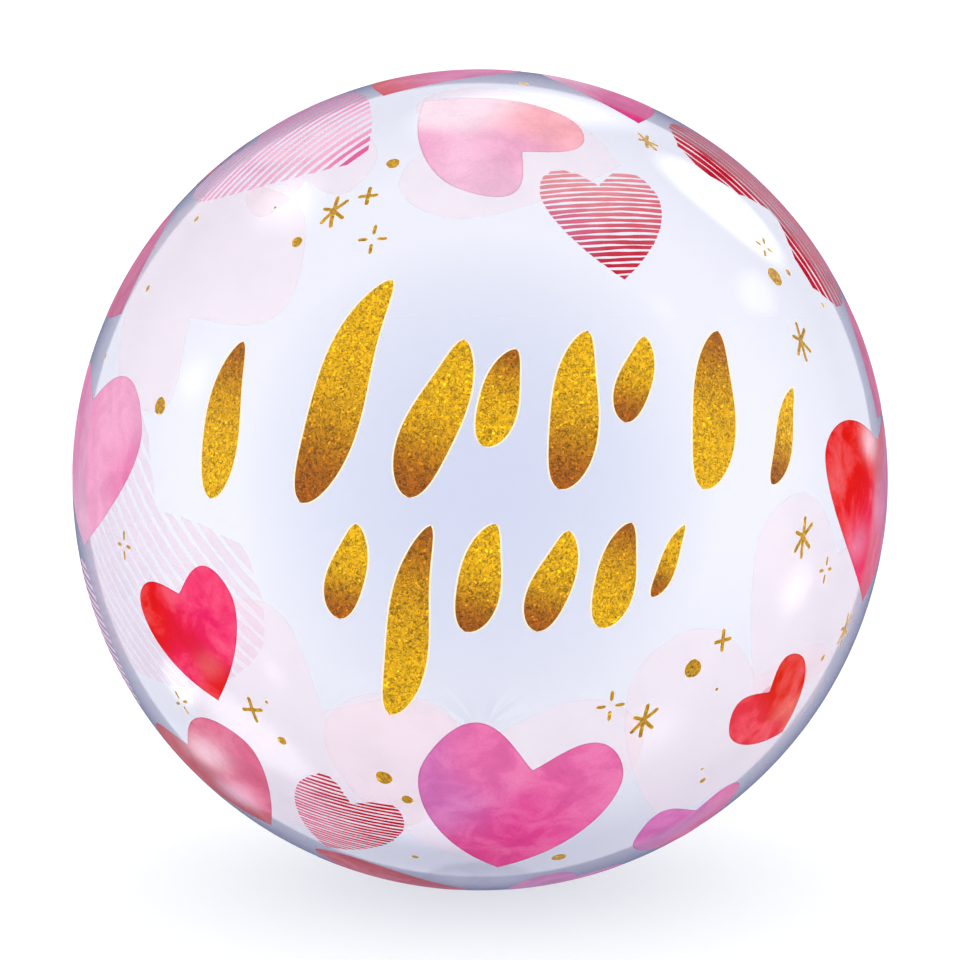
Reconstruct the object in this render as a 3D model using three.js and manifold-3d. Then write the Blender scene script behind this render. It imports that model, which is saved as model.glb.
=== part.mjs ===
// A clear bubble balloon: one seamless skin of stretchy film, blown up to a ball, that runs
// into a short gathered neck and a flat sealed tail.
//
// Millimetres, +Z up. The origin is the middle of the small flat spot that the balloon rests
// on. The printed front faces -Y, and the neck is at the back, low down, clear of the floor.
// The sealed balloon is one closed solid, so it has no inner wall.

import * as THREE from "three";
import { mergeVertices } from "three/addons/utils/BufferGeometryUtils.js";
import Module from "manifold-3d";

const { clamp, degToRad, lerp, smoothstep } = THREE.MathUtils;

// Driving dimensions of the ball.
const ballWidth = 560; // across the blown-up ball
const ballHeight = 564; // a shade taller than wide, before the flat spot is cut
const flatSpotRadius = 40; // what the balloon rests on, so that it doesn't roll

// Driving dimensions of the neck and tail.
const neckDip = 48; // degrees that the neck points below the horizontal, at the back
const shoulderRadius = 39; // where the ball's curve turns into the gathered neck
const shoulderPull = 24; // how far the ball's own direction carries into the shoulder
const neckPull = 13; // how far the neck's direction carries back into the shoulder
const neckRadius = 8; // the round, gathered neck
const neckRise = 16; // how far the neck starts beyond the ball's own curve
const neckLength = 8;
const fanLength = 18; // over this length the round neck flattens into the tail
const tailWidth = 26;
const tailThickness = 1; // two plies of skin with the flat valve between them
const tailFlat = 2.5; // how soon the strip's section turns from its edge into its flat face
const tailLength = 30;

// The gathers around the neck.
const pleatCount = 12;
const pleatDepth = 1.3; // at the middle of the shoulder
const pleatReach = 49; // from the neck's axis out to where the last of a gather dies away

// How finely the curved skin is faceted.
const aroundSteps = 72;
const ballSteps = 30;
const shoulderSteps = 9;
const fanSteps = 5;
const mergeDistance = 1e-3;

const radius = ballWidth / 2;
const stretch = ballHeight / ballWidth;
const shoulderAngle = Math.asin(shoulderRadius / radius); // off the neck's axis, at the centre
const centreHeight = (ballHeight / 2) * Math.sqrt(1 - (flatSpotRadius / radius) ** 2);

// Places along the neck's axis, from the ball's centre.
const neckStart = radius + neckRise;
const fanStart = neckStart + neckLength;
const tailStart = fanStart + fanLength;
const tailEnd = tailStart + tailLength;

const wasm = await Module();
wasm.setup();

function toSolid(geometry) {
  const bare = geometry.clone();
  bare.deleteAttribute("normal");
  bare.deleteAttribute("uv");
  const merged = mergeVertices(bare, mergeDistance);
  return new wasm.Manifold(
    new wasm.Mesh({
      numProp: 3,
      vertProperties: merged.attributes.position.array,
      triVerts: new Uint32Array(merged.index.array),
    }),
  );
}

function toGeometry(solid) {
  const mesh = solid.getMesh();
  const geometry = new THREE.BufferGeometry();
  geometry.setAttribute("position", new THREE.BufferAttribute(mesh.vertProperties, 3));
  geometry.setIndex(new THREE.BufferAttribute(mesh.triVerts, 1));
  geometry.computeVertexNormals();
  return geometry;
}

// The outline that turns about the neck's axis: x is the distance from the axis, y the place
// along it. An arc for the ball, one curve for the shoulder, and straight from there on.
function skinOutline() {
  const ball = new THREE.EllipseCurve(
    0, 0, radius, radius, -Math.PI / 2, Math.PI / 2 - shoulderAngle,
  );
  const shoulderTop = new THREE.Vector2(shoulderRadius, radius * Math.cos(shoulderAngle));
  const alongBall = new THREE.Vector2(-Math.cos(shoulderAngle), Math.sin(shoulderAngle));
  const neckFoot = new THREE.Vector2(neckRadius, neckStart);
  const shoulder = new THREE.CubicBezierCurve(
    shoulderTop,
    shoulderTop.clone().addScaledVector(alongBall, shoulderPull),
    neckFoot.clone().sub(new THREE.Vector2(0, neckPull)),
    neckFoot,
  );
  const fan = new THREE.LineCurve(
    new THREE.Vector2(neckRadius, fanStart),
    new THREE.Vector2(neckRadius, tailStart),
  );
  return [
    new THREE.Vector2(0, -radius),
    ...ball.getPoints(ballSteps).slice(1),
    ...shoulder.getPoints(shoulderSteps).slice(1),
    ...fan.getPoints(fanSteps),
    new THREE.Vector2(neckRadius, tailEnd),
    new THREE.Vector2(0, tailEnd),
  ];
}

// Soft gathers: near the neck the skin waves in and out, most on the shoulder, and the waves
// die away on the ball and where the tail lies flat.
function gatherShoulder(point) {
  const out = Math.hypot(point.x, point.z);
  if (out === 0 || point.y < 0) return;
  const share = clamp(1 - out / pleatReach, 0, 1);
  const fade = 1 - smoothstep(point.y, neckStart, tailStart);
  const height = pleatDepth * Math.sin(Math.PI * share) * fade;
  const scale = 1 + (height * Math.cos(pleatCount * Math.atan2(point.z, point.x))) / out;
  point.x *= scale;
  point.z *= scale;
}

// The fan: the round neck spreads to the tail's width and thins to its thickness, and its
// section goes from a circle to a strip with two flat faces.
function flattenTail(point) {
  const share = smoothstep(point.y, fanStart, tailStart);
  const sine = point.z / neckRadius;
  const flatSine = clamp(tailFlat * sine, -1, 1);
  point.x *= lerp(1, tailWidth / 2 / neckRadius, share);
  point.z = lerp(neckRadius, tailThickness / 2, share) * lerp(sine, flatSine, share);
}

function skinGeometry() {
  const geometry = new THREE.LatheGeometry(skinOutline(), aroundSteps);
  const position = geometry.getAttribute("position");
  const point = new THREE.Vector3();
  for (let i = 0; i < position.count; i++) {
    point.fromBufferAttribute(position, i);
    gatherShoulder(point);
    if (point.y > neckStart) flattenTail(point);
    position.setXYZ(i, point.x, point.y, point.z);
  }
  return geometry;
}

// The lathe's axis is +Y. It turns back and down by neckDip, then the whole skin is stretched
// upright and lifted to stand on the floor.
function standSkin(geometry) {
  geometry.rotateX(-degToRad(neckDip));
  geometry.scale(1, 1, stretch);
  geometry.translate(0, 0, centreHeight);
  return geometry;
}

// Everything below the floor is cut away, which leaves the flat spot.
function floorBlock() {
  const depth = ballHeight / 8;
  return new THREE.BoxGeometry(ballWidth, ballWidth, depth).translate(0, 0, -depth / 2);
}

function makeBubble() {
  const skin = toSolid(standSkin(skinGeometry()));
  const film = new THREE.MeshStandardMaterial({
    color: 0xe8eaf6,
    roughness: 0.08,
    metalness: 0,
    transparent: true,
    opacity: 0.5,
  });
  const mesh = new THREE.Mesh(toGeometry(skin.subtract(toSolid(floorBlock()))), film);
  mesh.name = "bubble";
  return mesh;
}

const balloon = new THREE.Group();
balloon.add(makeBubble());

export default balloon;
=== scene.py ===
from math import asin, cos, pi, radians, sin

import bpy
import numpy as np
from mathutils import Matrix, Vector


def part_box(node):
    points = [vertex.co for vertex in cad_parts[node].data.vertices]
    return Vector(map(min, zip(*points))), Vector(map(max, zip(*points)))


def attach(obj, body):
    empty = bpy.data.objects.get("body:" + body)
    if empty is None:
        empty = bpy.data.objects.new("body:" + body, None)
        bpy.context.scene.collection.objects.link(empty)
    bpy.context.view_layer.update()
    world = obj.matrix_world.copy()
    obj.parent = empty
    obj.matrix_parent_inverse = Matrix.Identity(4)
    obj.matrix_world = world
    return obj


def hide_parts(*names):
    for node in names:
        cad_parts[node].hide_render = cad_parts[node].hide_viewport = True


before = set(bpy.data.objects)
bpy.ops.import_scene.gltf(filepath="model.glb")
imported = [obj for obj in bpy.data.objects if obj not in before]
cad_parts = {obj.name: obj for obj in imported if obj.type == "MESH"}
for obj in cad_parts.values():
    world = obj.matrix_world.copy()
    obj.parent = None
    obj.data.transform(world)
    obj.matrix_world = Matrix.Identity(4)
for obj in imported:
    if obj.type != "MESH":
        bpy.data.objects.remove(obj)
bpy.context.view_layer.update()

# A clear bubble balloon: one seamless ball of blown film that runs into its gathered neck and
# its flat sealed tail, printed with painted hearts, striped hearts and gold glitter.
#
# The film is one closed piece. Each ink is a piece of its own: thin shapes that lie on the
# film, worked out in millimetres on the flat and then wrapped round the ball.

# ---- Sizes, in millimetres and degrees ------------------------------------------------------

MM = 0.001
TINY = 1e-9  # keeps a division from meeting nothing
INK_ROOM = 0.3  # kept free inside the construction's box for the inks that lie on the film
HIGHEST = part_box("bubble")[1]
BALL_RADIUS = HIGHEST[0] / MM - INK_ROOM
STRETCH = 564 / 560  # a shade taller than wide
CENTRE_HEIGHT = HIGHEST[2] / MM - (BALL_RADIUS + INK_ROOM) * STRETCH

NECK_DIP = 48  # degrees below the horizontal, at the back
SHOULDER_RADIUS = 39  # where the ball's curve turns into the gathered neck
SHOULDER_PULL = 24  # how far the ball's own direction carries into the shoulder
NECK_PULL = 13  # how far the neck's direction carries back into the shoulder
NECK_RADIUS = 8  # the round, gathered neck
NECK_START = 296  # places along the neck's axis, from the ball's middle
FAN_START = 304
TAIL_START = 322
TAIL_END = 352
TAIL_WIDTH = 26
TAIL_THICKNESS = 1  # two plies of film
TAIL_FLAT = 2.5  # how soon the strip's section turns from its edge into its flat face

GATHERS = ((12, 1.3, 49), (31, 0.35, 62), (47, 0.2, 72))  # count, depth, reach from the axis
SEAL_PITCH = 2.0  # the ribs that the heat sealer's jaws leave across the tail
SEAL_DEPTH = 0.12  # half a rib's depth, as a share of the half thickness
SEAL_LENGTH = 14

# How finely the film is divided, around its axis and along it.
AROUND = 288
BALL_ROWS = 132
SHOULDER_ROWS = 26
NECK_ROWS = 4
FAN_ROWS = 14
TAIL_ROWS = 60

PALE_LIFT = 0.08  # how far each ink lies off the film, so that the later ones lie on the earlier
PAINT_LIFT = 0.15
GOLD_LIFT = 0.22


# ---- Camera ---------------------------------------------------------------------------------

SIGHT_DIP = 6  # degrees that the camera looks down by
SIGHT_LENGTH = 1850
LENS = 100


def place_camera():
    """The camera stands in front of the ball, a little above it, and looks at its middle."""
    data = bpy.data.cameras.new("camera")
    data.lens = LENS
    camera = bpy.data.objects.new("camera", data)
    bpy.context.collection.objects.link(camera)
    middle = Vector((0, 0, CENTRE_HEIGHT * MM))
    back = Vector((0, -cos(radians(SIGHT_DIP)), sin(radians(SIGHT_DIP))))
    camera.location = middle + back * SIGHT_LENGTH * MM
    camera.rotation_euler = (-back).to_track_quat("-Z", "Y").to_euler()
    bpy.context.scene.camera = camera


place_camera()


# ---- Meshes ---------------------------------------------------------------------------------


def grid_quads(rows, columns, wrap):
    """Quads of a grid numbered row by row; wrap joins the last column to the first."""
    row = np.arange(rows - 1)[:, None] * columns
    column = np.arange(columns if wrap else columns - 1)[None, :]
    after = (column + 1) % columns
    corners = (row + column, row + columns + column, row + columns + after, row + after)
    return np.stack(corners, -1).reshape(-1, 4)


def pole_triangles(pole, ring, columns, first):
    """Triangles from one point to a ring that starts at number ring; first says it opens the grid."""
    column = np.arange(columns)
    after = (column + 1) % columns
    ends = (ring + column, ring + after) if first else (ring + after, ring + column)
    return np.stack((np.full(columns, pole), *ends), -1)


def make_piece(name, points, faces, material, **marks):
    """Puts points in millimetres and their faces into a mesh. Each mark is an attribute, with one
    value or colour a point."""
    mesh = bpy.data.meshes.new(name)
    mesh.from_pydata((points * MM).tolist(), [], faces)
    for mark, values in marks.items():
        if values.ndim == 1:
            mesh.attributes.new(mark, "FLOAT", "POINT").data.foreach_set("value", values)
        else:
            opaque = np.concatenate((values, np.ones((len(values), 1))), 1)
            colours = mesh.attributes.new(mark, "FLOAT_COLOR", "POINT")
            colours.data.foreach_set("color", opaque.ravel())
    mesh.shade_smooth()
    mesh.materials.append(material)
    piece = bpy.data.objects.new(name, mesh)
    bpy.context.collection.objects.link(piece)
    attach(piece, "root")
    return piece


# ---- The film -------------------------------------------------------------------------------


def smooth_step(value, start, end):
    """Nothing before start, one after end, and between them three squares less two cubes."""
    share = np.clip((value - start) / (end - start), 0, 1)
    return share * share * (3 - 2 * share)


def skin_outline():
    """Half the film's section: each row is the distance out from the neck's axis and the place
    along it. An arc for the ball, a cubic Bezier curve for the shoulder, then straight lines."""
    shoulder = asin(SHOULDER_RADIUS / BALL_RADIUS)
    sweep = np.linspace(-pi / 2, pi / 2 - shoulder, BALL_ROWS + 1)[1:]
    ball = BALL_RADIUS * np.stack((np.cos(sweep), np.sin(sweep)), -1)
    top = ball[-1]
    foot = np.array((NECK_RADIUS, NECK_START))
    onward = top + SHOULDER_PULL * np.array((-cos(shoulder), sin(shoulder)))
    back = foot - (0, NECK_PULL)
    t = np.linspace(0, 1, SHOULDER_ROWS + 1)[1:, None]
    curve = (
        top * (1 - t) ** 3 + 3 * onward * t * (1 - t) ** 2 + 3 * back * t**2 * (1 - t) + foot * t**3
    )
    along = np.concatenate((
        np.linspace(NECK_START, FAN_START, NECK_ROWS + 1)[1:],
        np.linspace(FAN_START, TAIL_START, FAN_ROWS + 1)[1:],
        np.linspace(TAIL_START, TAIL_END, TAIL_ROWS + 1)[1:],
    ))
    straight = np.stack((np.full(len(along), NECK_RADIUS), along), -1)
    return np.concatenate((ball, curve, straight))


def gather(out, along, turn):
    """The gathers round the neck: each set waves out and in as the cosine of its count times the
    turn, by a depth that grows and dies as half a sine from its reach in to the axis."""
    fade = (1 - smooth_step(along, NECK_START, TAIL_START)) * (along > 0)
    for number, (count, depth, reach) in enumerate(GATHERS):
        share = np.clip(1 - out / reach, 0, 1)
        out = out + depth * np.sin(pi * share) * fade * np.cos(count * turn + number)
    return out


def flatten_tail(x, along, z):
    """The round neck spreads to the tail's width and thins to its thickness by a smooth share.
    By the same share the sine that rounds its section goes over to a steeper one, clipped at
    one, which is a strip. Ribs run across the sealed end as a row of cosines."""
    share = smooth_step(along, FAN_START, TAIL_START)
    sine = z / NECK_RADIUS
    flat = np.clip(TAIL_FLAT * sine, -1, 1)
    wide = x * (1 + share * (TAIL_WIDTH / 2 / NECK_RADIUS - 1))
    thick = NECK_RADIUS + share * (TAIL_THICKNESS / 2 - NECK_RADIUS)
    sealed = smooth_step(along, TAIL_END - SEAL_LENGTH, TAIL_END - SEAL_LENGTH + SEAL_PITCH)
    ribs = 1 - sealed * SEAL_DEPTH * (1 + np.cos(2 * pi * (TAIL_END - along) / SEAL_PITCH))
    beyond = along > NECK_START
    return np.where(beyond, wide, x), np.where(beyond, thick * (sine + share * (flat - sine)) * ribs, z)


def skin_points():
    """The film as a surface of revolution about the neck's axis, gathered and flattened, tipped
    back and down by the neck's dip, stretched upright, and pressed flat where it meets the floor."""
    outline = skin_outline()
    turn = np.linspace(0, 2 * pi, AROUND, endpoint=False)[None, :]
    along = np.broadcast_to(outline[:, 1:], (len(outline), AROUND))
    out = gather(outline[:, :1], along, turn)
    x, z = flatten_tail(out * np.cos(turn), along, out * np.sin(turn))
    rows = np.stack((x, along, z), -1).reshape(-1, 3)
    points = np.concatenate(((0, -BALL_RADIUS, 0), rows.ravel(), (0, TAIL_END, 0))).reshape(-1, 3)
    dip = radians(NECK_DIP)
    y = points[:, 1] * cos(dip) + points[:, 2] * sin(dip)
    z = -points[:, 1] * sin(dip) + points[:, 2] * cos(dip)
    height = np.maximum(z * STRETCH + CENTRE_HEIGHT, 0)
    return np.stack((points[:, 0], y, height), -1), len(outline)


def make_skin(material):
    """Joins the film's rings with quads, and closes both its poles."""
    points, rows = skin_points()
    quads = grid_quads(rows, AROUND, wrap=True) + 1
    last = len(points) - 1
    faces = (
        pole_triangles(0, 1, AROUND, first=True).tolist()
        + quads.tolist()
        + pole_triangles(last, last - AROUND, AROUND, first=False).tolist()
    )
    skin = make_piece("skin", points, faces, material)
    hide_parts("bubble")
    return skin


# ---- Wrapping the print round the ball ------------------------------------------------------


def on_film(place, x, y, lift):
    """Lays points in millimetres, x to the right and y up, on the film. From the place each
    point goes along a great circle for its own distance, and then out by lift."""
    azimuth, elevation, turn = np.radians(place)
    out = np.array((sin(azimuth) * cos(elevation), -cos(azimuth) * cos(elevation), sin(elevation)))
    right = np.array((cos(azimuth), sin(azimuth), 0))
    up = np.array((-sin(azimuth) * sin(elevation), cos(azimuth) * sin(elevation), cos(elevation)))
    across = x * cos(turn) - y * sin(turn)
    along = x * sin(turn) + y * cos(turn)
    far = np.hypot(across, along)
    safe = np.maximum(far, TINY)[..., None]
    heading = (across[..., None] * right + along[..., None] * up) / safe
    angle = (far / BALL_RADIUS)[..., None]
    points = (BALL_RADIUS + lift) * (np.cos(angle) * out + np.sin(angle) * heading)
    points[..., 2] = np.maximum(points[..., 2] * STRETCH + CENTRE_HEIGHT, 0)
    return points


# ---- Inks -----------------------------------------------------------------------------------


def ink(hex_colour):
    """An sRGB hex colour turned to linear light."""
    digits = hex_colour.lstrip("#")
    parts = np.array([int(digits[i : i + 2], 16) for i in (0, 2, 4)]) / 255
    return np.where(parts <= 0.04045, parts / 12.92, ((parts + 0.055) / 1.055) ** 2.4)


BLUSH = ink("#fde3f0")
TEA_ROSE = ink("#d96a8c")
PETAL = ink("#f9c3df")
PINK = ink("#efa6cb")
ROSE = ink("#e56ca8")
MAGENTA = ink("#db4a8e")
FUCHSIA = ink("#e2408f")
CERISE = ink("#f02a68")
SCARLET = ink("#e51c16")
CRIMSON = ink("#c2152f")
CHERRY = ink("#cf4580")
SALMON = ink("#e8939c")
BRICK = ink("#d75264")
PEACH = ink("#fdb3bf")
CORAL = ink("#ea6f68")
VERMILION = ink("#df2812")
POPPY = ink("#e63a4a")
LILAC = ink("#d070b4")
MAUVE = ink("#b8619a")
MISTY = ink("#ffd2dc")
FADED_ROSE = ink("#ee98bd")
GOLD = ink("#dca806")
COPPER = ink("#9a5208")
STRAW = ink("#bd8b12")

FAINTEST = 1e-6  # what each drop still counts for, however far away


def run_together(x, y, drops):
    """Wet inks run together: each drop (ink, x, y, reach) counts at a point by a bell curve of its
    distance from it, and the point's colour is the mean of the inks by those counts."""
    counts = [
        np.exp(-((x - dx) ** 2 + (y - dy) ** 2) / reach**2) + FAINTEST for _, dx, dy, reach in drops
    ]
    total = sum(counts)
    return sum((count / total)[..., None] * drop[0] for count, drop in zip(counts, drops))


# ---- Shapes on the flat ---------------------------------------------------------------------

HEART_AROUND = 144
HEART_RINGS = 14
HEART_MIDDLE = 0.2  # where a heart is filled from, as a share of half its height
SHOULDER_HEIGHT = 0.75  # where a heart is widest, as a share of half its height
LOBE_FULLNESS = 1.7  # two gives a plain vee for a notch, less gives fuller lobes
LOBE_CURVE = 2
FLANK_CURVE = 0.9  # one gives straight flanks, less gives fuller ones

RIBBON_STEP = 2.5
RIBBON_ACROSS = 4
FIRST_STRIPE = 0.4  # how far up the outline the first stripe lies, in pitches
SHORTEST_STRIPE = 0.8  # in pitches
FEWEST_STEPS = 5
HAIR = 1e-4  # so that a level doesn't run through a point
STRAY = ((0.3, 17), (0.14, 6))  # how far a stripe wavers, and over what length
BODY = ((0.12, 11), (0.08, 2.9))  # the share by which it thickens, and over what length

DAB_ROWS = 60
DAB_END = 0.002
DAB_FOOT = 1.18  # how full the foot is
DAB_TAPER = 0.42  # how much less full the tip is
CAP_POINTS = 7


def heart_outline(size, rise=(0.3, 0.3), swell=(1, 1)):
    """Once round a heart, against the clock from its notch. At turn t the point is minus the
    sine across and the cosine up, with the sine's size added upwards. The sine is raised to
    powers: across to LOBE_FULLNESS above the middle and one below it, and upwards to LOBE_CURVE
    above and FLANK_CURVE below. Above the middle the squared sine of twice t lifts each lobe by
    its own rise. size is the width, and the height from the notch to the tip. swell widens the
    left half and the right."""
    width, height = size
    t = np.linspace(0, 2 * pi, HEART_AROUND, endpoint=False)
    left = t < pi
    upper = np.cos(t) > 0
    sine = np.abs(np.sin(t))
    across = sine ** np.where(upper, LOBE_FULLNESS, 1) * np.where(left, *swell)
    x = -width / 2 * np.sign(np.sin(t)) * across
    lobe = np.where(upper, np.sin(2 * t) ** 2 * np.where(left, *rise), 0)
    y = np.cos(t) + SHOULDER_HEIGHT * sine ** np.where(upper, LOBE_CURVE, FLANK_CURVE) + lobe
    return np.stack((x, y * height / 2), -1)


def disc(outline, middle, rings=HEART_RINGS):
    """Fills an outline from its middle: the point at share s is s of the way out to the outline.
    Its distance in from the edge is one less s of the middle's distance from that edge's line."""
    count = len(outline)
    share = np.linspace(0, 1, rings + 1)[1:, None, None]
    spokes = outline - middle
    points = (middle + share * spokes).reshape(-1, 2)
    tangent = np.roll(outline, -1, 0) - np.roll(outline, 1, 0)
    length = np.hypot(tangent[:, 0], tangent[:, 1])
    turned = np.abs(spokes[:, 0] * tangent[:, 1] - spokes[:, 1] * tangent[:, 0])
    reach = turned / np.maximum(length, TINY)
    edge = ((1 - share[:, :, 0]) * reach).ravel()
    fan = pole_triangles(0, 1, count, first=True).tolist()
    faces = fan + (grid_quads(rings, count, wrap=True) + 1).tolist()
    points = np.concatenate(([middle], points))
    return points, np.concatenate(([reach.mean()], edge)), faces


def ribbon(centre, half_width):
    """A band along a centre line, as wide at each point as half_width says to either side."""
    ahead = np.gradient(centre, axis=0)
    ahead /= np.maximum(np.hypot(ahead[:, 0], ahead[:, 1]), TINY)[:, None]
    left = np.stack((-ahead[:, 1], ahead[:, 0]), -1)
    across = np.linspace(-1, 1, RIBBON_ACROSS + 1)
    points = centre[:, None] + (half_width[:, None] * across)[..., None] * left[:, None]
    edge = half_width[:, None] * (1 - np.abs(across))
    faces = grid_quads(len(centre), RIBBON_ACROSS + 1, wrap=False).tolist()
    return points.reshape(-1, 2), edge.ravel(), faces


def crossings(outline, level):
    """Where a level line enters and leaves an outline, in pairs from left to right. On each side
    of the outline that it cuts, the place is found by straight proportion."""
    after = np.roll(outline, -1, 0)
    low, high = outline[:, 1] - level, after[:, 1] - level
    cut = (low < 0) != (high < 0)
    share = low[cut] / (low[cut] - high[cut])
    x = np.sort(outline[cut, 0] + share * (after[cut, 0] - outline[cut, 0]))
    return x.reshape(-1, 2)


def waves(x, sizes, phases):
    """A sum of sines, each with its height and the length over which it turns by one radian."""
    return sum(height * np.sin(x / length + phase) for (height, length), phase in zip(sizes, phases))


def turn_flat(points, angle):
    """Turns points on the flat clockwise by an angle."""
    return points @ np.array(((cos(angle), -sin(angle)), (sin(angle), cos(angle))))


def stripes(outline, slant, pitch, weight, seed):
    """Brush stripes across an outline, a pitch apart and turned by slant. A stripe's two sides
    each end where they meet the outline. It wavers along its length, and thickens and thins, as
    sums of two sines. weight is the share of the pitch that it covers."""
    rng = np.random.default_rng(seed)
    angle = radians(slant)
    turned = turn_flat(outline, angle)
    side = np.linspace(-1, 1, RIBBON_ACROSS + 1)
    half = pitch * weight / 2
    bottom, top = turned[:, 1].min(), turned[:, 1].max()
    shapes = []
    for level in np.arange(bottom + pitch * FIRST_STRIPE, top, pitch):
        middle = crossings(turned, level + HAIR)
        low, high = crossings(turned, level - half), crossings(turned, level + half)
        for number, ends in enumerate(middle):
            reach = ends[1] - ends[0]
            if reach < pitch * SHORTEST_STRIPE:
                continue
            lower = low[number] if len(low) == len(middle) else ends
            upper = high[number] if len(high) == len(middle) else ends
            first, last = lower[:, None] + (upper - lower)[:, None] * (side + 1) / 2
            share = np.linspace(0, 1, max(int(reach / RIBBON_STEP), FEWEST_STEPS))[:, None]
            x = first + (last - first) * share
            phases = rng.uniform(0, 2 * pi, 4)
            centre = level + waves(x, STRAY, phases[:2])
            body = 1 + waves(x, BODY, phases[2:])
            points = np.stack((x, centre + half * body * side), -1).reshape(-1, 2)
            inward = (half * (1 - np.abs(side)) * np.ones_like(x)).ravel()
            faces = grid_quads(len(share), RIBBON_ACROSS + 1, wrap=False).tolist()
            shapes.append((turn_flat(points, -angle), inward, faces))
    return shapes


def dab(length, width, bend):
    """One dab of a loaded brush, from its round foot up to its pointed tip. Its centre line is a
    shallow S, and its width is the root of u times one less u, fuller towards the foot."""
    u = np.linspace(DAB_END, 1 - DAB_END, DAB_ROWS)
    x = bend * length / 2 * np.sin(2 * pi * u)
    y = length * (u - 0.5)
    half = width * np.sqrt(u * (1 - u)) * (DAB_FOOT - DAB_TAPER * u)
    return ribbon(np.stack((x, y), -1), half)


def star_outline(arms, half_width):
    """A hand-drawn star: arms (direction in degrees, length), each a straight bar that ends in
    half a circle, meet where the sides of neighbours cross. That is half a width out, divided
    by the sine of half the angle between them."""
    direction = np.radians([arm[0] for arm in arms])
    length = np.array([arm[1] for arm in arms])
    cap = np.linspace(-pi / 2, pi / 2, CAP_POINTS)
    tip = (length - half_width)[:, None] + half_width * np.cos(cap)
    side = half_width * np.sin(cap) * np.ones_like(tip)
    x = tip * np.cos(direction)[:, None] - side * np.sin(direction)[:, None]
    y = tip * np.sin(direction)[:, None] + side * np.cos(direction)[:, None]
    gap = (np.roll(direction, -1) - direction) % (2 * pi)
    reach = half_width / np.sin(gap / 2)
    halfway = direction + gap / 2
    between = np.stack((reach * np.cos(halfway), reach * np.sin(halfway)), -1)
    return np.concatenate((np.stack((x, y), -1), between[:, None]), 1).reshape(-1, 2)


# ---- The print ------------------------------------------------------------------------------
# Each place is the azimuth from the front, the elevation, and the turn against the clock.


def heart(place, size, drops, rise=(0.3, 0.3), swell=(1, 1), stripe=None):
    """A heart's place, outline and inks. Each drop is its ink, its place across and up the heart,
    and its reach, in half widths and half heights. stripe is a slant, a pitch and a weight."""
    shape = dict(size=size, rise=rise, swell=swell)
    return dict(place=place, shape=shape, drops=drops, stripe=stripe)


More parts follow.
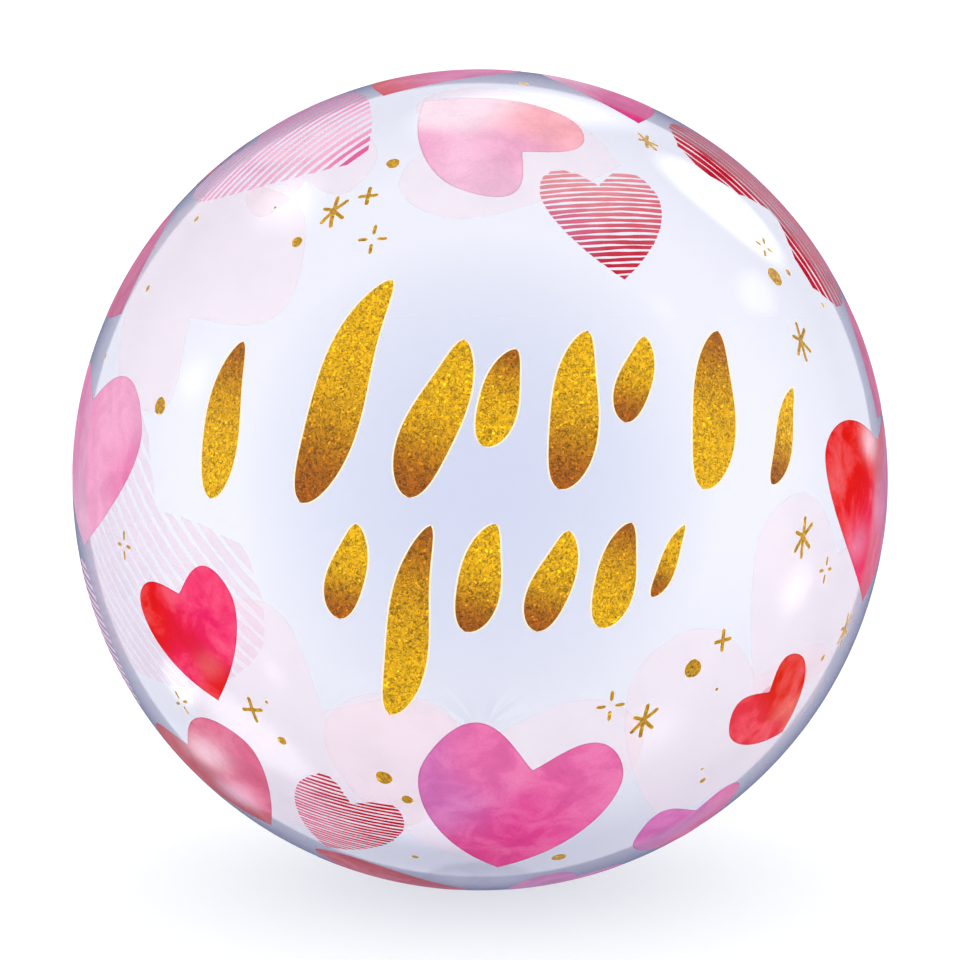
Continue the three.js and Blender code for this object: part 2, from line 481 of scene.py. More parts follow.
PAINTED_HEARTS = [
    heart((-2, 59.5, -135), (102, 92), [
        (BLUSH, -0.35, -0.45, 0.5), (PEACH, -0.8, 0.6, 0.5), (PINK, 0.1, 0.9, 0.35),
        (PETAL, 0.7, 0.9, 0.6), (PINK, 1, 0, 0.35),
    ], rise=(0.25, 0.45), swell=(1.08, 1.08)),
    heart((-40, 77.5, 8), (100, 96), [(SCARLET, -0.3, -0.9, 0.7), (ROSE, 0.4, -0.1, 0.6)]),
    heart((57, 67.5, -36), (76, 92), [
        (FUCHSIA, 0.1, -0.5, 0.9), (PINK, -0.8, 0.5, 0.5), (CERISE, 0.3, -1, 0.3),
    ]),
    heart((77.5, 16, -40), (80, 74), [(CHERRY, 0, 0, 1), (ROSE, 0.4, 0.5, 0.4)], rise=(0.1, 0.1)),
    # On this heart the blush drop near the top and the pink drop left of its middle are painted
    # highlights.
    heart((69.5, -3.5, -5), (150, 107), [
        (SCARLET, -0.8, 0.4, 0.8), (CERISE, -0.25, -0.3, 0.45), (BLUSH, -0.3, 0.95, 0.16),
        (PINK, -0.5, -0.25, 0.2), (ROSE, 0.1, 0.2, 0.25), (MAUVE, 0.7, 0.2, 0.6),
    ], rise=(0.15, 0.2), swell=(1.24, 1)),
    heart((51, -28.5, 49), (66, 61), [
        (VERMILION, 0.7, 0.7, 0.7), (POPPY, -0.8, 0.7, 0.5), (CORAL, 0.15, -0.1, 0.28),
        (POPPY, -0.3, -0.4, 0.35), (CORAL, 0.5, -0.7, 0.35),
    ], rise=(0.45, 0.35), swell=(1.12, 1)),
    heart((54, -51.5, 45), (84, 75), [
        (LILAC, -0.5, 0.9, 0.8), (MAGENTA, 0.4, -0.7, 0.8), (ROSE, 0.7, 0.7, 0.4),
    ], rise=(0.65, 0.15), swell=(1.1, 0.85)),
    heart((6.5, -45, -6), (130, 115), [
        (LILAC, -0.85, 0.2, 0.5), (FUCHSIA, 0.15, 0, 0.5), (ROSE, 0.8, 0.3, 0.5),
        (MAGENTA, -0.2, -0.6, 0.5), (ROSE, -0.35, 0.9, 0.3),
    ], rise=(0.5, 0.3), swell=(1.06, 0.94)),
    # On this heart the blush and petal drops are a painted highlight.
    heart((-53.5, -42.5, 13), (136, 80), [
        (BLUSH, 0.3, 0.75, 0.3), (TEA_ROSE, 1.0, 0.6, 0.7), (PETAL, 0.15, -0.1, 0.3),
        (TEA_ROSE, 0.7, -0.3, 0.35), (CRIMSON, -0.7, 0.4, 0.8), (CRIMSON, -0.4, -0.9, 0.55),
    ], rise=(0.3, 0.4), swell=(0.9, 1.1)),
    heart((-41.5, -17.5, 9), (91, 73), [
        (SCARLET, -0.75, 0.3, 0.55), (CERISE, 0.45, 0.3, 0.6), (SCARLET, -0.1, 0.1, 0.3),
        (CERISE, -0.3, -0.2, 0.35), (CORAL, 0.1, -0.3, 0.22), (SCARLET, 0.25, -0.75, 0.35),
    ], rise=(0.15, 0.35)),
    heart((-69, 3, -5), (160, 98), [
        (ROSE, -0.6, 0.3, 0.6), (PINK, 0.5, 0.4, 0.5), (ROSE, 1, 0.2, 0.35), (PINK, 0.1, -0.5, 0.6),
    ], rise=(0.3, 0.4), swell=(1, 1.1)),
    heart((-75, 30, 55), (86, 81), [(CHERRY, 0, 0, 1), (MAGENTA, 0.3, 0.6, 0.5)], rise=(0.1, 0.1)),
    heart((-84, 50, 70), (50, 46), [(SCARLET, 0, 0, 1)]),
    heart((-29, -68.5, 60), (96, 92), [(CRIMSON, 0.5, 0, 0.7), (CHERRY, -0.5, 0, 0.7)]),
    heart((30, -71.5, -10), (80, 70), [(LILAC, 0, 0, 1)]),
]

STRIPED_HEARTS = [
    heart((21.7, 38.5, -2), (80, 73), [
        (SALMON, 0, 1, 0.7), (TEA_ROSE, -0.7, 0, 0.5), (BRICK, 0.6, 0.1, 0.7),
        (CRIMSON, 0.1, -0.8, 0.75),
    ], stripe=(3, 4.2, 0.68)),
    heart((-45, 55, 80), (122, 134), [
        (FUCHSIA, 0, -0.95, 0.33), (PETAL, 0, -0.1, 0.5), (ROSE, 0.5, 0.6, 0.45),
        (PINK, -0.8, 0.5, 0.5),
    ], swell=(1, 1.15), stripe=(-4, 7.8, 0.54)),
    heart((79, 42, 92), (167, 100), [
        (CRIMSON, 0, 1.3, 0.7), (BRICK, 0, 0.5, 0.4), (CHERRY, 0, -0.6, 0.6),
    ], rise=(0.45, 0.65), swell=(0.9, 1.1), stripe=(0, 8.6, 0.78)),
    heart((-29, -47.5, -37), (75, 81), [
        (CRIMSON, 0.6, 0.8, 0.8), (TEA_ROSE, -0.7, -0.2, 0.7), (BRICK, 0.1, -0.8, 0.5),
    ], swell=(0.95, 1), stripe=(18, 3.7, 0.58)),
    heart((-74, -22, 20), (70, 90), [(PETAL, 0, 0, 1)], stripe=(-30, 6, 0.5)),
]

# The thinned inks lie under the others, and so does one wide set of faded stripes.
PALE_WASH = [(MISTY, 0, 0, 1)]
PALE_HEARTS = [
    heart((-57, 34, -128), (165, 130), PALE_WASH, rise=(0.6, 0.5), swell=(1.15, 0.9)),
    heart((12, 54, 74), (150, 112), PALE_WASH, rise=(0.35, 0.35)),
    heart((-32, -36.5, -38), (200, 145), PALE_WASH, rise=(0.5, 0.5)),
    heart((0, -41, -3), (176, 130), PALE_WASH, swell=(1.15, 1.15)),
    heart((39, -33.5, -12), (192, 120), PALE_WASH, rise=(0.35, 0.3)),
    heart((50, -17, -24), (150, 116), PALE_WASH, rise=(0.3, 0.35), swell=(1.12, 1)),
    heart((-39, 53.5, -155), (92, 72), PALE_WASH, rise=(0.5, 0.5)),
    heart((-56, -11, -42), (225, 150), [(FADED_ROSE, 0, 0, 1)], stripe=(-6, 9.5, 0.66)),
]

# The back is plainer, with a few whole hearts and dots.
BACK_HEARTS = [
    heart((-177, 63, 135), (92, 82), [(PETAL, 0, 0, 1), (ROSE, 0, 1, 0.5)]),
    heart((-120, -29.5, -9), (78, 64), [(SCARLET, 0.6, 0.2, 0.6), (CERISE, -0.5, 0.2, 0.6)]),
    heart((103, -38, -49), (58, 54), [(VERMILION, 0, 0, 1), (POPPY, 0.6, 0.3, 0.5)]),
    heart((163, -70, 6), (76, 62), [(MAGENTA, 0, 0, 1), (LILAC, 0.7, 0.2, 0.5)]),
]

# Dots of gold: azimuth, elevation, radius.
DOT_AROUND = 28
DOT_RINGS = 3
DOT_NARROW = 0.93  # its width as a share of its height
DOT_TURN = 20
GOLD_DOTS = [
    (-17.5, 50, 4.8), (-30, 36.5, 4.1), (-61, 29, 2.8), (-67.5, 19, 2.1), (-47, 13.5, 5.8),
    (-58.5, 40, 2.7), (20, 72.5, 3.4), (51, 31, 6.8), (55.5, 31.5, 2.7), (62, 26.5, 2.1),
    (29.5, -19, 6.6), (34.5, -22.5, 1.4), (58, -21, 2.7), (40.5, -38.5, 2.7), (38.5, -36, 1.4),
    (-15, -35, 5.8), (-12, -39, 4.1), (-14.5, -53.5, 2.7), (18, -54, 5.5), (-30.5, -30, 3.4),
    (-31, -24, 1.4), (-38, 42, 1.2), (-63, 43, 1.6),
]
BACK_DOTS = [
    (-157, 9.5, 6), (-135, 5.5, 5), (-173, 4.5, 5), (164, 6, 6), (139.5, 7, 6), (-166.5, -30, 6),
    (180, -22, 5), (156, -21, 5), (-154.5, 16, 4), (-157.5, 3, 3.5),
]

# Glints of gold: azimuth, elevation, turn, size, and whether they have six arms, four, or four
# with a gap in the middle.
GLINTS = [
    (-25.5, 41.5, 16, 12.5, "six"), (51, 22, 4, 13, "six"), (46, -3, 4, 13, "six"),
    (23.5, -26, 9, 12.5, "six"), (63, -17.5, 20, 12, "six"), (41.5, 55, 10, 10, "six"),
    (-17, 37, 8, 11, "gap"), (-20, 44, 12, 8, "four"), (52, -8, 4, 9, "gap"),
    (-54, -5, 0, 10, "gap"), (-34, -25.5, 8, 10, "four"), (18, -23.5, 9, 11, "gap"),
    (33.5, -15.5, 13, 8, "four"), (52.5, 35.5, -30, 9, "gap"), (-49.5, -26.5, 20, 9, "gap"),
]
SIX_ARMS = [(78, 0.98), (152, 0.66), (226, 0.98), (264, 1.12), (309, 0.9), (34, 0.95)]
FOUR_ARMS = [(82, 1.0), (176, 0.86), (264, 1.0), (356, 0.86)]
ARM_WIDTH = 3.0
GLINT_RINGS = 2
GAP_REACH = 0.3  # how far out the gap in the middle goes, as a share of an arm
STROKE_ROWS = 16
STROKE_WIDTH = 0.9  # of an arm's width
STROKE_ROUND = 1.4  # the length over which a stroke's end narrows
STROKE_END = 0.02  # the squared share of the width that is left at its very end

# Dabs of gold in two rows: azimuth, elevation, turn, length, width, bend. Of every three, two
# are copper at the foot and one at the tip.
COPPER_TIP = 3
DABS = [
    (-35, 12.5, -6, 98, 30, 0.04), (-18, 17, -18, 146, 36, 0.05), (-5.5, 13.5, -18, 100, 34, -0.05),
    (2.5, 16, -20, 62, 26, 0.05), (12, 14.5, -14, 98, 32, 0.05), (20.5, 18, -20, 56, 24, -0.05),
    (31.5, 14, -16, 100, 34, 0.05), (43, 10, -28, 66, 18, 0.06),
    (-16.5, -5.5, -12, 60, 26, -0.05), (-9, -12, -14, 126, 28, 0.05), (0, -6, -16, 68, 28, 0.05),
    (9, -6.5, -16, 64, 27, -0.05), (17, -6, -16, 66, 28, 0.05), (24, -4.5, -26, 48, 14, 0.05),
]


def lay(place, shape, colour, lift):
    """One flat shape laid on the film: its points, faces, inks and distances from the edge."""
    points, edge, faces = shape
    inks = np.broadcast_to(colour, (len(points), 3))
    return on_film(place, points[:, 0], points[:, 1], lift), faces, inks, edge


def lay_hearts(hearts, lift):
    """Every heart's shapes on the film, filled or striped, with their inks run together."""
    laid = []
    for seed, item in enumerate(hearts):
        outline = heart_outline(**item["shape"])
        half = np.array(item["shape"]["size"]) / 2
        if item["stripe"]:
            shapes = stripes(outline, *item["stripe"], seed)
        else:
            shapes = [disc(outline, np.array((0, half[1] * HEART_MIDDLE)))]
        for shape in shapes:
            across, up = (shape[0] / half).T
            laid.append(lay(item["place"], shape, run_together(across, up, item["drops"]), lift))
    return laid


def lay_dots():
    """Each dot is a circle, a little narrow, that wobbles three and five times on its way round."""
    laid = []
    t = np.linspace(0, 2 * pi, DOT_AROUND, endpoint=False)
    for number, (azimuth, elevation, radius) in enumerate(GOLD_DOTS + BACK_DOTS):
        wobble = 1 + 0.03 * np.sin(3 * t + number) + 0.015 * np.sin(5 * t + 2 * number)
        outline = radius * wobble[:, None] * np.stack((np.cos(t) * DOT_NARROW, np.sin(t)), -1)
        shape = disc(outline, np.zeros(2), DOT_RINGS)
        laid.append(lay((azimuth, elevation, DOT_TURN), shape, STRAW, GOLD_LIFT))
    return laid


def stroke(direction, length):
    """One stroke of a glint with a gap. Its half width goes as the root of the distance from the
    nearer end, up to its full width."""
    ahead = np.array((cos(radians(direction)), sin(radians(direction))))
    reach = np.linspace(GAP_REACH, 1, STROKE_ROWS) * length
    inset = np.minimum(reach - reach[0], reach[-1] - reach)
    half = np.sqrt(np.clip(inset / STROKE_ROUND, STROKE_END, 1)) * ARM_WIDTH / 2 * STROKE_WIDTH
    return ribbon(reach[:, None] * ahead, half)


def lay_glints():
    """Each glint is one star, or four strokes round a gap."""
    laid = []
    for azimuth, elevation, turn, size, kind in GLINTS:
        arms = SIX_ARMS if kind == "six" else FOUR_ARMS
        scaled = [(direction, length * size) for direction, length in arms]
        if kind == "gap":
            shapes = [stroke(*arm) for arm in scaled]
        else:
            shapes = [disc(star_outline(scaled, ARM_WIDTH / 2), np.zeros(2), GLINT_RINGS)]
        for shape in shapes:
            laid.append(lay((azimuth, elevation, turn), shape, STRAW, GOLD_LIFT))
    return laid


def lay_dabs():
    """The dabs, each with three inks run together along it."""
    laid = []
    for number, (azimuth, elevation, turn, length, width, bend) in enumerate(DABS):
        shape = dab(length, width, bend)
        across, up = (shape[0] / (length, length / 2)).T
        high, low = (GOLD, COPPER) if number % COPPER_TIP else (COPPER, GOLD)
        drops = [(high, 0, 0.75, 0.7), (GOLD, 0, 0.1, 0.5), (low, 0, -0.75, 0.7)]
        laid.append(lay((azimuth, elevation, turn), shape, run_together(across, up, drops), GOLD_LIFT))
    return laid


def make_print(name, laid, material):
    """Joins laid shapes into one piece, with each point's ink and its distance from the edge. The
    film under it already casts the shadow, and the ink doesn't show in what the film mirrors."""
    points, own_faces, inks, edges = zip(*laid)
    faces = []
    start = 0
    for own, number in zip(own_faces, map(len, points)):
        faces += [[corner + start for corner in face] for face in own]
        start += number
    marks = dict(ink=np.concatenate(inks), edge=np.concatenate(edges))
    piece = make_piece(name, np.concatenate(points), faces, material, **marks)
    piece.visible_shadow = False
    piece.visible_diffuse = False
    piece.visible_glossy = False
    return piece


# ---- Materials ------------------------------------------------------------------------------


def add_node(tree, kind, inputs=None, **settings):
    """Adds one node. Each input is a plain value, or another node's output to link."""
    node = tree.nodes.new("ShaderNode" + kind)
    for name, value in settings.items():
        setattr(node, name, value)
    for name, value in (inputs or {}).items():
        if isinstance(value, bpy.types.NodeSocket):
            tree.links.new(value, node.inputs[name])
        else:
            node.inputs[name].default_value = value
    return node.outputs


def new_material(name):
    """A material with no nodes yet, and the tree to put them in."""
    material = bpy.data.materials.new(name)
    material.use_nodes = True
    material.node_tree.nodes.clear()
    return material, material.node_tree


def rgba(colour):
    """A colour with nothing see-through about it."""
    return (*colour, 1)


def blend(tree, share, first, second):
    """A colour that goes from the first to the second by the share."""
    return add_node(tree, "Mix", {0: share, 6: first, 7: second}, data_type="RGBA")[2]


def lit_through(tree, front, colour):
    """Where the back of thin ink is seen, light that comes through it is added to its own."""
    through = add_node(tree, "BsdfTranslucent", {"Color": colour})["BSDF"]
    both = add_node(tree, "AddShader", {0: front, 1: through})["Shader"]
    back = add_node(tree, "NewGeometry")["Backfacing"]
    return add_node(tree, "MixShader", {0: back, 1: front, 2: both})["Shader"]


# The film. The colour of its gloss is painted by how far it turns away: a painted lavender
# reflection where it faces the eye, clear at the shoulders, dimmer beyond, and a painted
# grey-blue rim shade with a crisp inner edge.
HAZE = ink("#959ccb")
HAZE_SHARE = 0.25
RIPPLE_SIZE = 0.045  # metres
RIPPLE_DEPTH = 0.0006
RIPPLE_STRENGTH = 0.15
MIRROR_FACING = 0.12  # the share of light that it mirrors where it faces the eye
PAINTED_REFLECTION_TINTS = [
    (0.005, "#7f97ca"), (0.20, "#ffffff"), (0.32, "#ffffff"), (0.60, "#d1d1d8"),
    (0.735, "#d1d1d8"), (0.755, "#76768f"), (0.995, "#656985"),
]

# The inks. Sizes are in metres.
WASH_SIZE = 0.030
GRAIN_SIZE = 0.0016
WET_PAPER = ink("#ffd9e8")
DEEPEST_WASH = 0.84
DRIED_SHADE = 0.82
# The ink's gloss near the rim is tinted grey-blue: painted rim shade over the inks.
INK_SHEEN_PAINTED_RIM_SHADE = ink("#8199a2")
SHEEN_FROM = 0.72  # how far the ink turns away where its sheen begins
SHEEN_FULL = 0.77  # and where it is full
SHEEN_SHARE = 0.26
CREAM = ink("#fbeecb")
# The crevices' darkness is painted shade, and the flakes that catch the light are painted glints.
PAINTED_SHADE_CREVICE_WIDTH = 0.06  # as a share of the noise that curls the flakes
FLAKE_LIGHT = 1.14
PAINTED_GLINT_RARITY = 0.94  # the share of flakes that don't catch the light
PAINTED_GLINT_LIGHT = 1.9
FLAKE_SHADES = (0.72, 1.24)
FLAKE_DEPTH = 0.0003


def clear_film():
    """Clear stretch film, cast and then blown: almost colourless with a faint lavender haze, and
    wet-looking gloss on both faces, so that it shows mostly by what it mirrors. It mirrors more
    by the fifth power of how far it turns away."""
    material, tree = new_material("Clear stretch film, blown")
    at = add_node(tree, "TexCoord")["Object"]
    ripple = add_node(tree, "TexNoise", {"Vector": at, "Scale": 1 / RIPPLE_SIZE, "Detail": 2})["Fac"]
    bump = add_node(tree, "Bump", {
        "Height": ripple, "Strength": RIPPLE_STRENGTH, "Distance": RIPPLE_DEPTH,
    })["Normal"]
    haze = add_node(tree, "BsdfPrincipled", {
        "Base Color": rgba(HAZE), "Roughness": 0.7, "Specular IOR Level": 0.0,
        "Alpha": HAZE_SHARE, "Normal": bump,
    })["BSDF"]
    facing = add_node(tree, "LayerWeight", {"Blend": 0.5, "Normal": bump})["Facing"]
    # The gloss colour is painted reflection and painted rim shade, set by how far the film turns away.
    painted_reflection = add_node(tree, "ValToRGB", {"Fac": facing})["Color"]
    ramp = painted_reflection.node.color_ramp
    for turned_away, colour in PAINTED_REFLECTION_TINTS:
        ramp.elements.new(turned_away).color = rgba(ink(colour))
    ramp.elements.remove(ramp.elements[0])
    ramp.elements.remove(ramp.elements[-1])
    gloss = add_node(tree, "BsdfGlossy", {"Color": painted_reflection, "Roughness": 0.04, "Normal": bump})["BSDF"]
    fifth = add_node(tree, "Math", {0: facing, 1: 5.0}, operation="POWER")["Value"]
    mirror = add_node(tree, "Math", {
        0: fifth, 1: 1 - MIRROR_FACING, 2: MIRROR_FACING,
    }, operation="MULTIPLY_ADD")["Value"]
    film = add_node(tree, "MixShader", {0: mirror, 1: haze, 2: gloss})["Shader"]
    add_node(tree, "OutputMaterial", {"Surface": film})
    return material


def painted_ink(name, cover, line, bloom, rough):
    """Watercolour ink, printed and cured: washes that run deep and light, fine grain, and a
    darker line where the wash dried at its edge, under a thin gloss near the rim that is
    tinted grey-blue as painted rim shade.
    cover is the share of what lies behind that it hides, line the dried line's width in
    millimetres, bloom how far the washes pale, and rough how far the grain strays."""
    material, tree = new_material(name)
    at = add_node(tree, "TexCoord")["Object"]
    colour = add_node(tree, "Attribute", attribute_name="ink")["Color"]
    edge = add_node(tree, "Attribute", attribute_name="edge")["Fac"]
    wash = add_node(tree, "TexNoise", {
        "Vector": at, "Scale": 1 / WASH_SIZE, "Detail": 5, "Roughness": 0.6, "Distortion": 0.5,
    })["Fac"]
    light = add_node(tree, "MapRange", {
        "Value": wash, "From Min": 0.45, "From Max": 0.75, "To Min": 0.0, "To Max": bloom,
    })["Result"]
    washed = blend(tree, light, colour, rgba(WET_PAPER))
    deep = add_node(tree, "MapRange", {
        "Value": wash, "From Min": 0.3, "From Max": 0.55, "To Min": DEEPEST_WASH, "To Max": 1.0,
    })["Result"]
    grain = add_node(tree, "TexNoise", {"Vector": at, "Scale": 1 / GRAIN_SIZE, "Detail": 2})["Fac"]
    speck = add_node(tree, "MapRange", {
        "Value": grain, "From Min": 0.3, "From Max": 0.7, "To Min": 1 - rough, "To Max": 1 + rough,
    })["Result"]
    dried = add_node(tree, "MapRange", {
        "Value": edge, "From Min": line * 0.4, "From Max": line, "To Min": DRIED_SHADE, "To Max": 1.0,
    })["Result"]
    shade = add_node(tree, "Math", {0: deep, 1: speck}, operation="MULTIPLY")["Value"]
    shade = add_node(tree, "Math", {0: shade, 1: dried}, operation="MULTIPLY")["Value"]
    inked = add_node(tree, "VectorMath", {0: washed, "Scale": shade}, operation="SCALE")["Vector"]
    paint = add_node(tree, "BsdfPrincipled", {
        "Base Color": inked, "Roughness": 0.6, "Specular IOR Level": 0.0,
    })["BSDF"]
    paint = lit_through(tree, paint, inked)
    # Gloss near the rim, tinted grey-blue as painted rim shade that darkens the ink there.
    gloss = add_node(tree, "BsdfGlossy", {"Color": rgba(INK_SHEEN_PAINTED_RIM_SHADE), "Roughness": 0.08})["BSDF"]
    facing = add_node(tree, "LayerWeight", {"Blend": 0.5})["Facing"]
    sheen = add_node(tree, "MapRange", {
        "Value": facing, "From Min": SHEEN_FROM, "From Max": SHEEN_FULL,
        "To Min": 0.0, "To Max": SHEEN_SHARE,
    }, interpolation_type="SMOOTHSTEP")["Result"]
    coated = add_node(tree, "MixShader", {0: sheen, 1: paint, 2: gloss})["Shader"]
    clear = add_node(tree, "BsdfTransparent", {"Color": (1, 1, 1, 1)})["BSDF"]
    printed = add_node(tree, "MixShader", {0: cover, 1: clear, 2: coated})["Shader"]
    add_node(tree, "OutputMaterial", {"Surface": printed})
    return material


def glitter_ink(name, cream, curl_size, flake_size, dark):
    """Gold glitter ink: short curled flakes a couple of millimetres long with painted shade in
    the crevices between them, a few brightened as painted glints where they would catch the
    light, and a thin cream edge where the ink thins out. Real flakes are about 0.2 mm, which is too
    fine to show. cream is the edge's width in millimetres, the sizes are in metres, and dark is the
    light that the painted crevice shade keeps."""
    material, tree = new_material(name)
    at = add_node(tree, "TexCoord")["Object"]
    colour = add_node(tree, "Attribute", attribute_name="ink")["Color"]
    edge = add_node(tree, "Attribute", attribute_name="edge")["Fac"]
    curl = add_node(tree, "TexNoise", {
        "Vector": at, "Scale": 1 / curl_size, "Detail": 1, "Distortion": 1.4,
    })["Fac"]
    off = add_node(tree, "Math", {0: curl, 1: 0.5}, operation="SUBTRACT")["Value"]
    away = add_node(tree, "Math", {0: off}, operation="ABSOLUTE")["Value"]
    # Painted shade along the crevices between the curled flakes.
    painted_crevice_shade = add_node(tree, "MapRange", {
        "Value": away, "From Min": 0.0, "From Max": PAINTED_SHADE_CREVICE_WIDTH,
        "To Min": dark, "To Max": FLAKE_LIGHT,
    })["Result"]
    flakes = add_node(tree, "TexVoronoi", {"Vector": at, "Scale": 1 / flake_size}, feature="F1")
    tilt = add_node(tree, "SeparateColor", {"Color": flakes["Color"]})
    # Painted glints: a few flakes brightened as if they caught the light.
    painted_glint = add_node(tree, "MapRange", {
        "Value": tilt["Red"], "From Min": PAINTED_GLINT_RARITY, "From Max": 0.99,
        "To Min": 1.0, "To Max": PAINTED_GLINT_LIGHT,
    })["Result"]
    uneven = add_node(tree, "MapRange", {
        "Value": tilt["Blue"], "From Min": 0.0, "From Max": 1.0,
        "To Min": FLAKE_SHADES[0], "To Max": FLAKE_SHADES[1],
    })["Result"]
    # depth carries the painted crevice shade, the painted glints and the flakes' random tone.
    depth = add_node(tree, "Math", {0: painted_crevice_shade, 1: painted_glint}, operation="MULTIPLY")["Value"]
    depth = add_node(tree, "Math", {0: depth, 1: uneven}, operation="MULTIPLY")["Value"]
    flaked = add_node(tree, "VectorMath", {0: colour, "Scale": depth}, operation="SCALE")["Vector"]
    inside = add_node(tree, "MapRange", {
        "Value": edge, "From Min": cream * 0.8, "From Max": cream,
    })["Result"]
    gilded = blend(tree, inside, rgba(CREAM), flaked)
    bump = add_node(tree, "Bump", {
        "Height": tilt["Green"], "Strength": 0.5, "Distance": FLAKE_DEPTH,
    })["Normal"]
    gold = add_node(tree, "BsdfPrincipled", {
        "Base Color": gilded, "Metallic": 0.12, "Roughness": 0.4, "Specular IOR Level": 0.2,
        "Normal": bump,
    })["BSDF"]
    add_node(tree, "OutputMaterial", {"Surface": lit_through(tree, gold, gilded)})
    return material


# ---- Studio ---------------------------------------------------------------------------------

FLOOR_RADIUS = 9000
FLOOR_SIDES = 96
FLOOR_GAP = 0.5  # between the floor and the ball's flat spot
PAPER_WHITE = 0.97

# Strengths of light: what falls on the floor and the inks, the white that the eye sees, and
# what the film mirrors, level or above and straight below.
ROOM_LIGHT = 1.04
SEEN_WHITE = 1.18
MIRRORED_ROOM = (1.6, 1.6, 1.62)
MIRRORED_FLOOR = (0.95, 0.93, 1.0)
LEVEL, STEEP = -0.1, -0.9  # how far down a direction goes where the floor comes in and is full

# Soft oval panels that the film mirrors: direction from the ball, the way the oval is long,
# its two half widths in degrees, the share of it that is evenly bright, and its brightness.
PANELS = [
    ((0.57, 0.58, 0.58), (0.76, -0.65, 0.07), (12, 14), 0.5, 3.4),
    ((0.07, 0.63, 0.77), (0.55, 0.38, -0.74), (24, 13), 0.2, 3.2),
    ((-0.56, 0.33, 0.76), (0.16, 0.93, -0.33), (17, 9), 0.0, 2.2),
    ((0.92, 0.20, -0.34), (-0.15, 0.97, 0.19), (10, 7), 0.0, 2.0),
    ((-0.74, 0.40, -0.54), (-0.39, -0.90, -0.16), (11, 5), 0.4, 2.2),
    ((-0.73, -0.21, -0.65), (0.66, 0.07, -0.75), (6, 5), 0.0, 0.8),
]
OVAL_DEPTH = 0.8  # how far an oval reaches along its own direction, so that it has one side


def white_paper():
    """Matt white paper, plain and clean. Its glow makes up the same white as the sky's."""
    material, tree = new_material("White paper sweep")
    white = (PAPER_WHITE, PAPER_WHITE, PAPER_WHITE, 1)
    paper = add_node(tree, "BsdfDiffuse", {"Color": white, "Roughness": 0.0})["BSDF"]
    short = SEEN_WHITE - PAPER_WHITE * ROOM_LIGHT
    glow = add_node(tree, "Emission", {"Color": (1, 1, 1, 1), "Strength": short})["Emission"]
    lit = add_node(tree, "AddShader", {0: paper, 1: glow})["Shader"]
    add_node(tree, "OutputMaterial", {"Surface": lit})
    return material


def lay_floor():
    """A wide flat disc, a hair under the ball."""
    t = np.linspace(0, 2 * pi, FLOOR_SIDES, endpoint=False)
    ring = FLOOR_RADIUS * np.stack((np.cos(t), np.sin(t), np.zeros(FLOOR_SIDES)), -1)
    points = (np.concatenate((((0, 0, 0),), ring)) - (0, 0, FLOOR_GAP)) * MM
    mesh = bpy.data.meshes.new("floor")
    mesh.from_pydata(points.tolist(), [], pole_triangles(0, 1, FLOOR_SIDES, first=True).tolist())
    mesh.materials.append(white_paper())
    floor = bpy.data.objects.new("floor", mesh)
    bpy.context.collection.objects.link(floor)
    floor.visible_glossy = False


def oval(tree, direction, middle, longest, half_widths, even):
    """One in the even part of an oval about a direction, none beyond its edge, smooth between.
    The direction is turned and scaled so that the oval becomes the unit ball."""
    across = middle.cross(longest).normalized()
    turn = Matrix((across.cross(middle), across, middle)).transposed().to_euler()
    widths = (sin(radians(half_widths[0])), sin(radians(half_widths[1])), OVAL_DEPTH)
    inside = add_node(tree, "Mapping", {
        "Vector": direction, "Location": middle, "Rotation": turn, "Scale": widths,
    }, vector_type="TEXTURE")["Vector"]
    out = add_node(tree, "VectorMath", {0: inside}, operation="LENGTH")["Value"]
    return add_node(tree, "MapRange", {
        "Value": out, "From Min": 1.0, "From Max": even,
    }, interpolation_type="SMOOTHSTEP")["Result"]


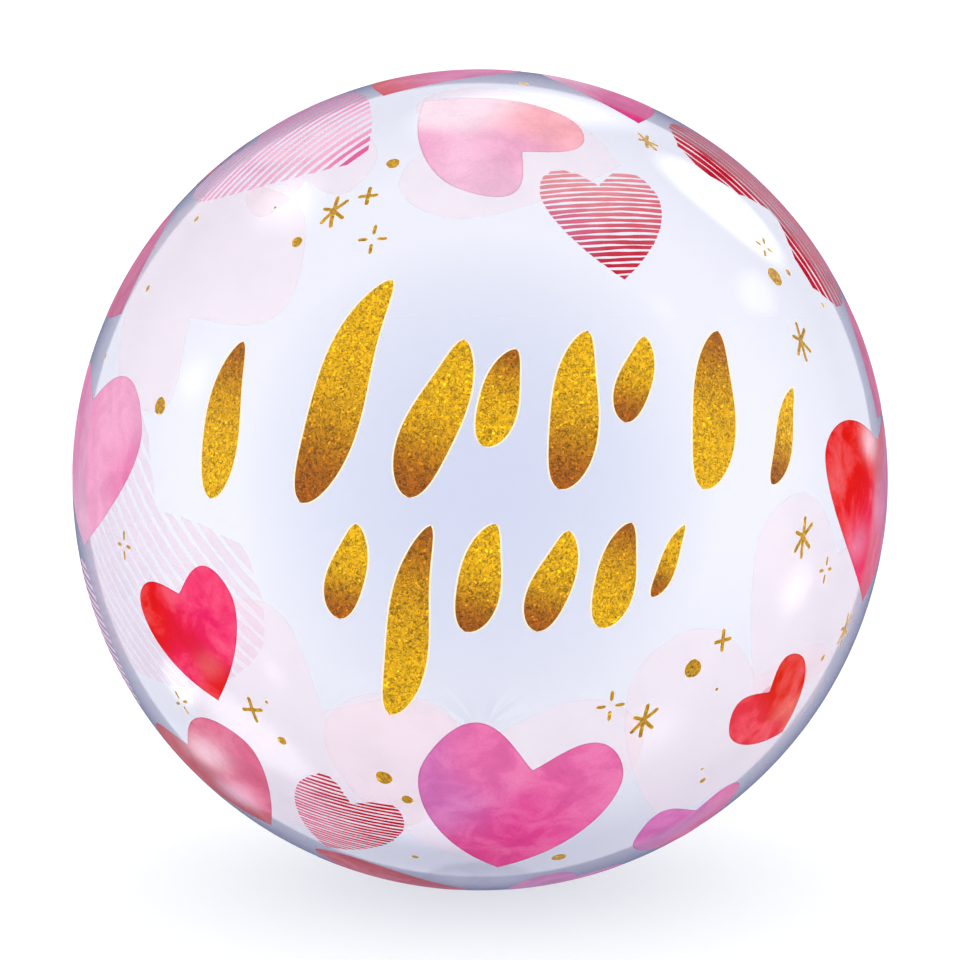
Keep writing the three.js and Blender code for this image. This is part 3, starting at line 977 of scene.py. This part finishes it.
def light_studio():
    """A white studio all round. What the film mirrors is drawn apart: a brighter room with soft
    panels, and a dimmer floor."""
    world = bpy.data.worlds.new("studio")
    bpy.context.scene.world = world
    world.use_nodes = True
    tree = world.node_tree
    tree.nodes.clear()
    direction = add_node(tree, "TexCoord")["Generated"]
    height = add_node(tree, "SeparateXYZ", {"Vector": direction})["Z"]
    below = add_node(tree, "MapRange", {
        "Value": height, "From Min": LEVEL, "From Max": STEEP,
    }, interpolation_type="SMOOTHSTEP")["Result"]
    mirrored = blend(tree, below, rgba(MIRRORED_ROOM), rgba(MIRRORED_FLOOR))
    for middle, longest, half_widths, even, bright in PANELS:
        middle = Vector(middle).normalized()
        mask = oval(tree, direction, middle, Vector(longest), half_widths, even)
        glow = add_node(tree, "VectorMath", {
            0: (bright, bright, bright), "Scale": mask,
        }, operation="SCALE")["Vector"]
        mirrored = add_node(tree, "VectorMath", {0: mirrored, 1: glow}, operation="ADD")["Vector"]
    ray = add_node(tree, "LightPath")
    lit = blend(tree, ray["Is Glossy Ray"], (ROOM_LIGHT, ROOM_LIGHT, ROOM_LIGHT, 1), mirrored)
    seen = blend(tree, ray["Is Camera Ray"], lit, (SEEN_WHITE, SEEN_WHITE, SEEN_WHITE, 1))
    light = add_node(tree, "Background", {"Color": seen, "Strength": 1.0})["Background"]
    add_node(tree, "OutputWorld", {"Surface": light})


# ---- Making it ------------------------------------------------------------------------------

make_skin(clear_film())
make_print(
    "pale_hearts", lay_hearts(PALE_HEARTS, PALE_LIFT),
    painted_ink("Watercolour ink, thinned", cover=0.22, line=1.0, bloom=0.3, rough=0.01),
)
make_print(
    "painted_hearts", lay_hearts(PAINTED_HEARTS + BACK_HEARTS, PAINT_LIFT),
    painted_ink("Watercolour ink, printed and cured", cover=1.0, line=1.2, bloom=0.16, rough=0.05),
)
make_print(
    "striped_hearts", lay_hearts(STRIPED_HEARTS, PAINT_LIFT),
    painted_ink("Watercolour ink, dry-brushed", cover=1.0, line=0.2, bloom=0.05, rough=0.04),
)
make_print("gold_dots", lay_dots(), glitter_ink(
    "Gold glitter ink, fine", cream=0.25, curl_size=0.0022, flake_size=0.0016, dark=0.12,
))
make_print("gold_glints", lay_glints(), glitter_ink(
    "Gold glitter ink, drawn", cream=0.25, curl_size=0.0022, flake_size=0.0018, dark=0.12,
))
make_print("gold_dabs", lay_dabs(), glitter_ink(
    "Gold glitter ink, brushed", cream=1.2, curl_size=0.0038, flake_size=0.0013, dark=0.34,
))
lay_floor()
light_studio()

# A straight look through the ball crosses both walls of film, and up to three inks on each.
scene = bpy.context.scene
scene.view_settings.view_transform = "Standard"
scene.view_settings.look = "None"
scene.cycles.transparent_max_bounces = 24
scene.cycles.max_bounces = 5
scene.cycles.diffuse_bounces = 2
scene.cycles.glossy_bounces = 3
